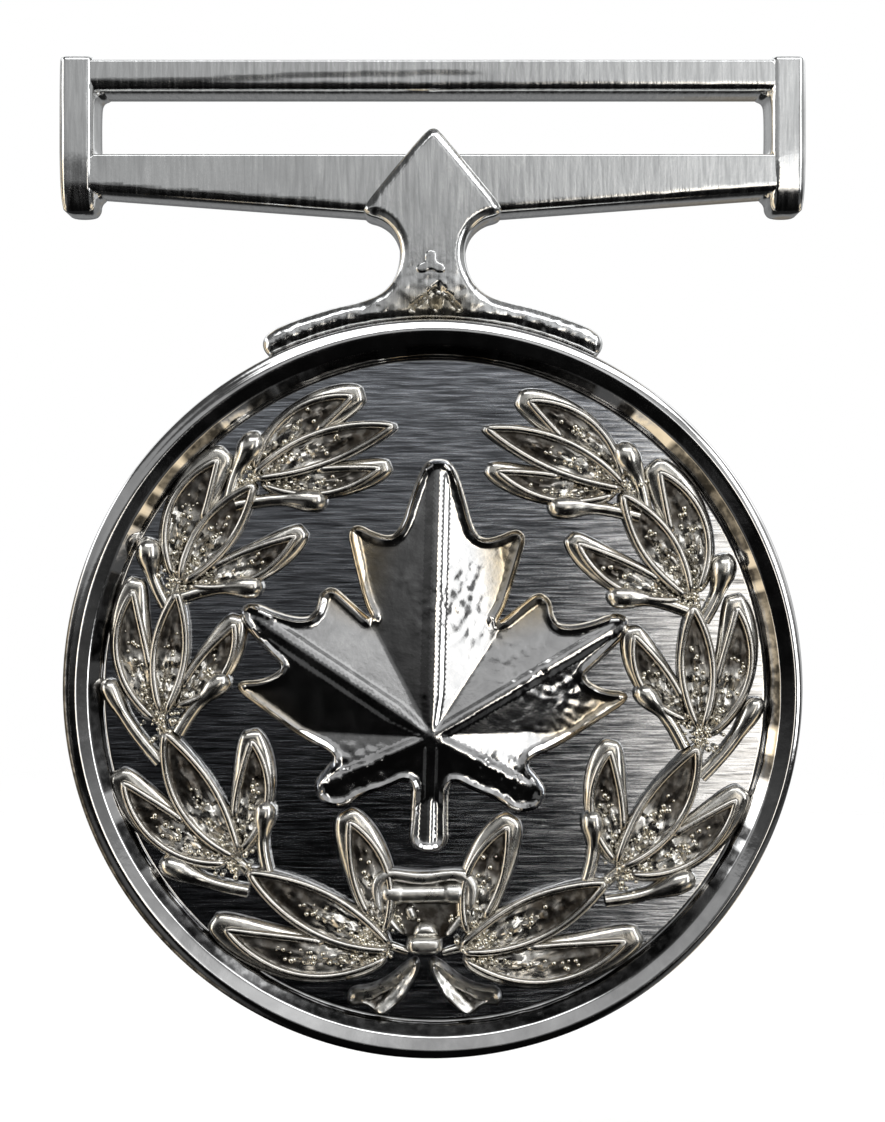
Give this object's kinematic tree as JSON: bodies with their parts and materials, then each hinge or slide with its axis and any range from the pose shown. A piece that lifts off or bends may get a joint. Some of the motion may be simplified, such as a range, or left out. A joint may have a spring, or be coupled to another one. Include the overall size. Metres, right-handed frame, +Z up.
{
  "type": "service medal",
  "caption": "Round struck medal with a raised maple leaf inside a tied laurel wreath, on a claw and a slotted straight bar that takes a ribbon.",
  "frame": {"origin": "middle of the top bar's underside, where the loop of the ribbon bears", "axes": "+Z up along the medal's line of hang, towards the ribbon; +X along the bars, to the right as the obverse is looked at; -Y out of the obverse"},
  "size_m": [0.0364, 0.0031, 0.0488],
  "materials": {
    "disc_metal": "struck copper-nickel, bright rolled rim, dark brushed field",
    "emblem_metal": "struck copper-nickel, polished leaf with soft hand-worn ridges",
    "wreath_metal": "struck copper-nickel, bright edges with dark warm tarnish in the hollows",
    "claw_metal": "cast and polished copper-nickel with fine scratches",
    "bar_metal": "polished copper-nickel with fine scratches along and across the bar",
    "post_metal": "polished copper-nickel with bright bevelled edges",
    "peg_steel": "plain drawn wire"
  },
  "bodies": {
    "root": {"medal_disc": "disc_metal", "maple_leaf": "emblem_metal", "wreath_branch_left": "wreath_metal", "wreath_branch_right": "wreath_metal", "wreath_bow": "wreath_metal", "claw": "claw_metal", "claw_mark": "claw_metal", "claw_peg": "peg_steel", "top_bar": "bar_metal", "lower_bar": "bar_metal", "end_post_left": "post_metal", "end_post_right": "post_metal"}
  },
  "joints": []
}
